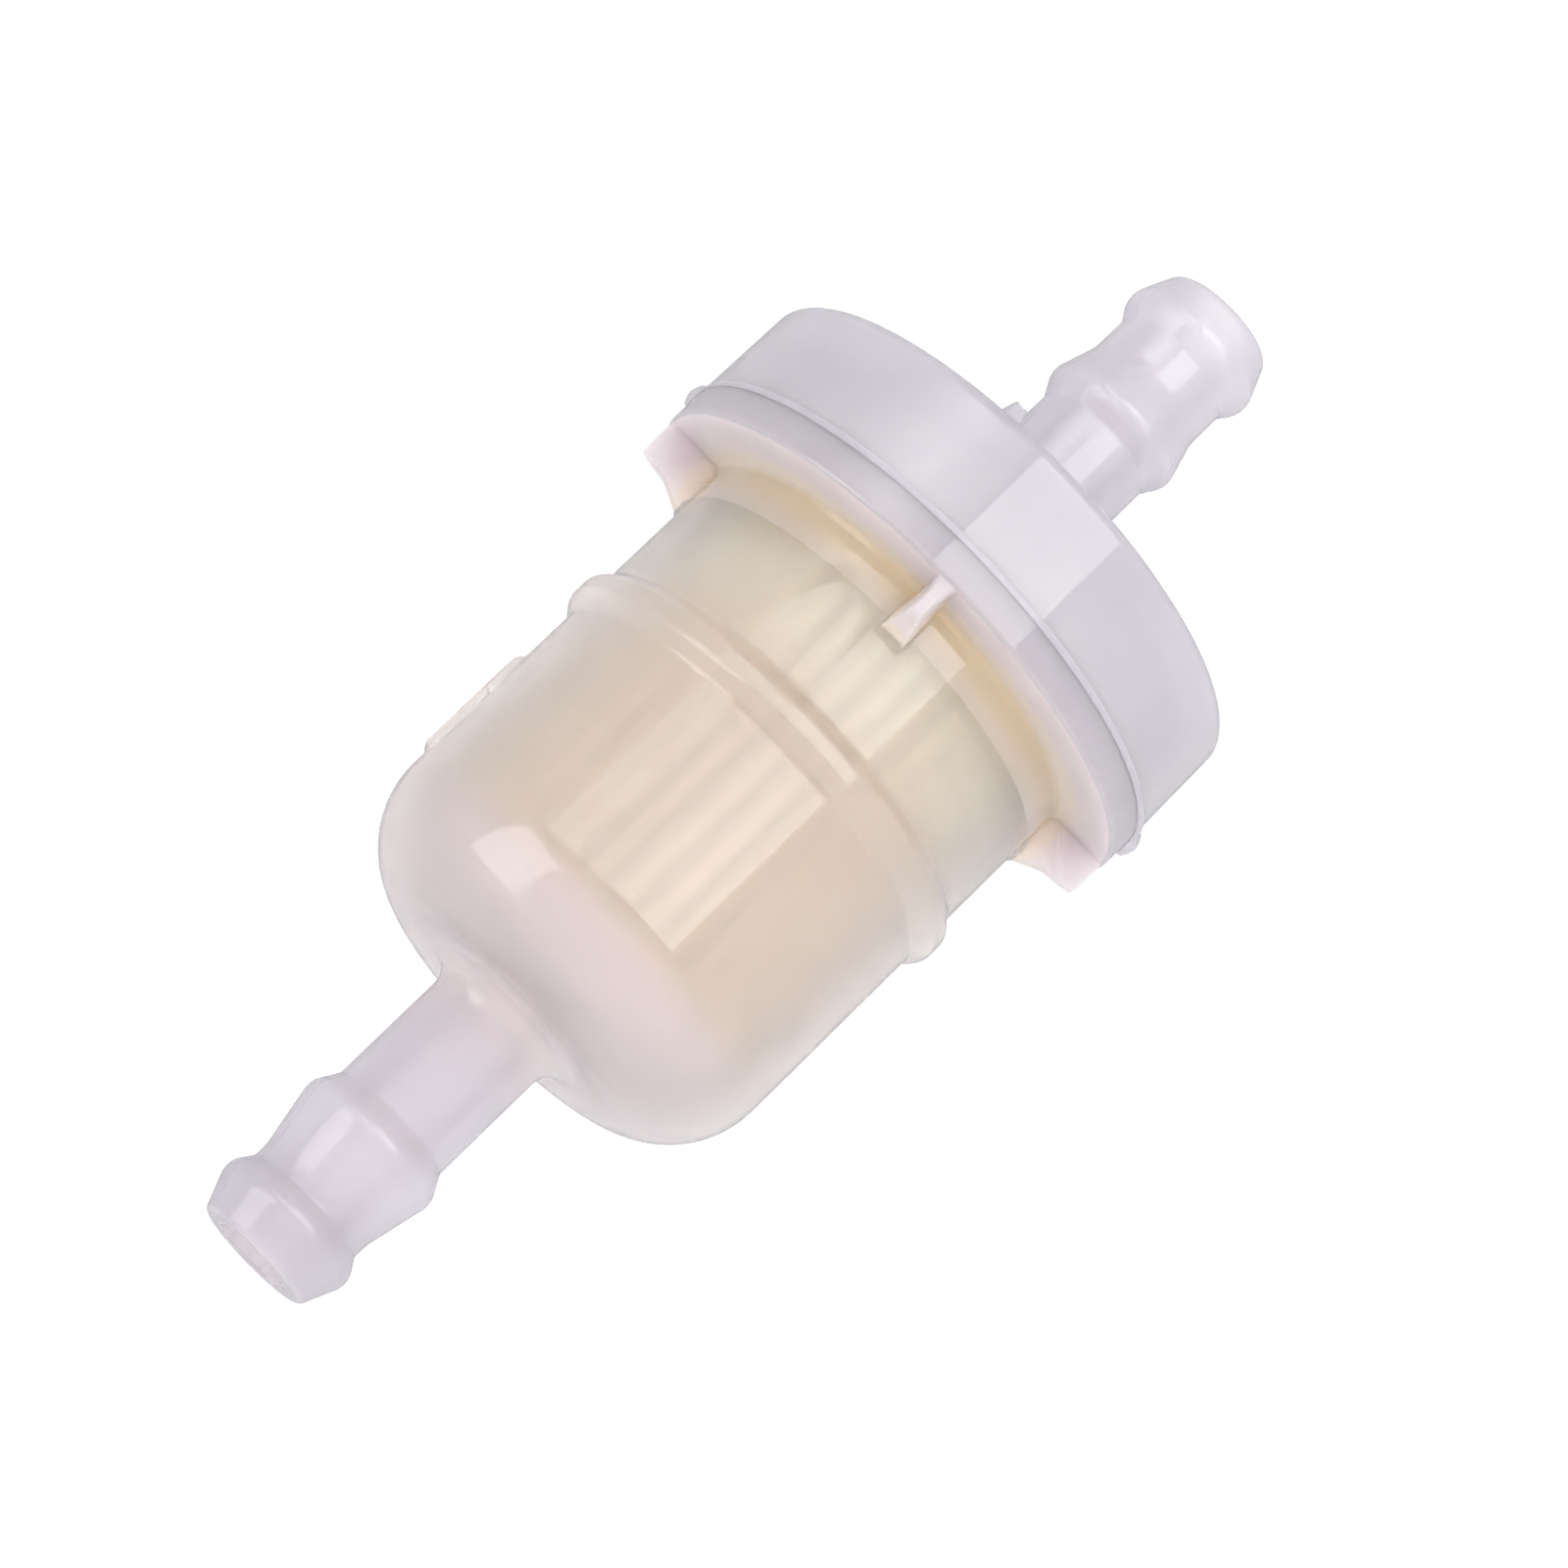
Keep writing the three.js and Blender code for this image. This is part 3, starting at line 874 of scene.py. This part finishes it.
def build_potting_bottom():
    """Disc of adhesive in the cup, a little hollow in the middle."""
    low, high = (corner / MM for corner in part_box("potting_bottom"))
    return element_ring("potting_bottom_disc", "potting_bottom", ADHESIVE, [
        (low.x, CENTRE_R, 0.0),
        (low.x, high.z, 0.1),
        (high.x, high.z, 0.3),
        (high.x - 0.15, CENTRE_R, 0.0),
    ])


def build_bottom_cup():
    """Cup that closes the element's blind end, with a boss towards the inlet."""
    low, high = (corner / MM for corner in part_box("element_bottom_cup"))
    base_x = high.x - CUP["boss_height"]
    floor_x = base_x + CUP["floor"]
    inner_r = high.z - CUP["wall"]
    return element_ring("bottom_cup_shell", "element_bottom_cup", INNER, [
        (low.x, CENTRE_R, 0.0),
        (low.x, CUP["boss_r"] * 0.6, 0.3),
        (base_x, CUP["boss_r"], 0.3),
        (base_x, high.z, 0.3),
        (high.x, high.z, EDGE_ROUND),
        (high.x, inner_r, EDGE_ROUND),
        (floor_x, inner_r, 0.2),
        (floor_x, CENTRE_R, 0.0),
    ])


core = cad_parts["core_cage"]
core.data.materials.clear()
core.data.materials.append(INNER)

pieces = [
    build_bowl(),
    build_cap(),
    build_gate(),
    build_flash(),
    build_paper(),
    build_top_plate(),
    build_potting_top(),
    build_potting_bottom(),
    build_bottom_cup(),
]
for piece in pieces:
    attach(piece, "root")


# ---------------------------------------------------------------- floor, light, camera


def facing_frame(right, up, back, place):
    """A matrix that turns an object's own axes to three directions and moves it to a place."""
    return Matrix.Translation(place) @ Matrix((right, up, back)).transposed().to_4x4()


def build_floor():
    """Pale floor that glows by itself, just under the part. Glossy rays don't see it."""
    made = material("pale_floor", (0.02, 0.02, 0.02), 0.9, Specular_IOR_Level=0.0)
    shader = shader_of(made)
    shader.inputs["Emission Color"].default_value = (1, 1, 1, 1)
    shader.inputs["Emission Strength"].default_value = 1.15
    half = 3.0
    height = min(CAD_BOX[0][2], 0) - 0.0005
    corners = [(x * half, y * half, height) for x, y in ((-1, -1), (1, -1), (1, 1), (-1, 1))]
    mesh = bpy.data.meshes.new("floor")
    mesh.from_pydata(corners, [], [(0, 1, 2, 3)])
    mesh.materials.append(made)
    floor = bpy.data.objects.new("floor", mesh)
    bpy.context.scene.collection.objects.link(floor)
    floor.visible_glossy = False


def area_light(name, middle, facing, long_axis, size, radiance, spread=None):
    """A rectangular softbox seen only in reflections. size is (along long_axis, across it) in metres.
    A spread, the half angle in radians, fades its edges."""
    data = bpy.data.lights.new(name, "AREA")
    data.shape = "RECTANGLE"
    data.size, data.size_y = size
    data.energy = radiance * math.pi * size[0] * size[1]
    if spread:
        data.spread = 2 * spread
        data.energy *= 1 - spread / math.tan(spread)
    back = -Vector(facing).normalized()
    right = Vector(long_axis)
    right = (right - back * right.dot(back)).normalized()
    lamp = bpy.data.objects.new(name, data)
    lamp.matrix_world = facing_frame(right, back.cross(right), back, middle)
    lamp.visible_diffuse = False
    lamp.visible_transmission = False
    bpy.context.scene.collection.objects.link(lamp)


def overhead_panel(name, around_x, along_x, radiance, height=0.5, soft=False):
    """A panel above the filter's axis. around_x is its first and last angle in degrees, from +Z towards
    -Y. along_x is its first and last place along the axis, in metres."""
    turn = math.radians(sum(around_x) / 2)
    half = math.radians((around_x[1] - around_x[0]) / 2)
    out = Vector((0, -math.sin(turn), math.cos(turn)))
    middle = out * height + Vector((sum(along_x) / 2, 0, 0))
    size = (along_x[1] - along_x[0], 2 * height * math.tan(half))
    facing, spread = (-middle, half) if soft else (-out, None)
    area_light(name, middle, facing, (1, 0, 0), size, radiance, spread)


def build_lights():
    """Softboxes whose reflections are the bright patches on the wall, the shoulder and the cap."""
    overhead_panel("key_softbox", (-9.5, 33.5), (0.098, 0.37), 2.45)
    overhead_panel("dim_panel_body", (-48, -9.5), (0.09, 0.150), 1.55)
    overhead_panel("soft_panel_cap", (-64, -10), (0.153, 0.23), 2.4, soft=True)
    towards = Vector((-0.385, 0.748, 0.539)).normalized()
    area_light("window_softbox", towards * 0.6, -towards, (0.8, 0.035, 0.6), (0.56, 0.344), 1.9)


def build_world():
    """Soft white surroundings that grow brighter upwards and towards the inlet."""
    world = bpy.data.worlds.new("studio")
    world.use_nodes = True
    tree = world.node_tree
    background = tree.nodes["Background"]
    background.inputs["Color"].default_value = (0.97, 0.96, 1.0, 1)
    direction = tree.nodes.new("ShaderNodeTexCoord").outputs["Generated"]
    towards_bright = tree.nodes.new("ShaderNodeVectorMath")
    towards_bright.operation = "DOT_PRODUCT"
    towards_bright.inputs[1].default_value = (-0.62, -0.25, 0.74)
    strength = tree.nodes.new("ShaderNodeMapRange")
    strength.inputs["From Min"].default_value = -0.9
    strength.inputs["To Min"].default_value = 0.52
    strength.inputs["To Max"].default_value = 1.5
    tree.links.new(direction, towards_bright.inputs[0])
    tree.links.new(towards_bright.outputs["Value"], strength.inputs["Value"])
    tree.links.new(strength.outputs["Result"], background.inputs["Strength"])
    bpy.context.scene.world = world


def build_camera():
    """Looks down on the filter from the inlet's side; the axis runs up to the right in the picture."""
    tilt = math.radians(14.5)
    roll = math.radians(44.1)
    target = Vector((1.02, -1.43, 0)) * MM
    distance = 0.2956
    back = Vector((-math.sin(tilt), 0, math.cos(tilt)))
    along = Vector((math.cos(tilt), 0, math.sin(tilt)))
    across = back.cross(along)
    right = along * math.cos(roll) - across * math.sin(roll)
    up = along * math.sin(roll) + across * math.cos(roll)
    data = bpy.data.cameras.new("camera")
    data.lens = 140.6
    data.sensor_width = 36
    data.clip_start = 0.01
    data.clip_end = 20
    camera = bpy.data.objects.new("camera", data)
    camera.matrix_world = facing_frame(right, up, back, target + back * distance)
    bpy.context.scene.collection.objects.link(camera)
    bpy.context.scene.camera = camera


build_floor()
build_world()
build_lights()
build_camera()
bpy.context.scene.view_settings.view_transform = "Standard"
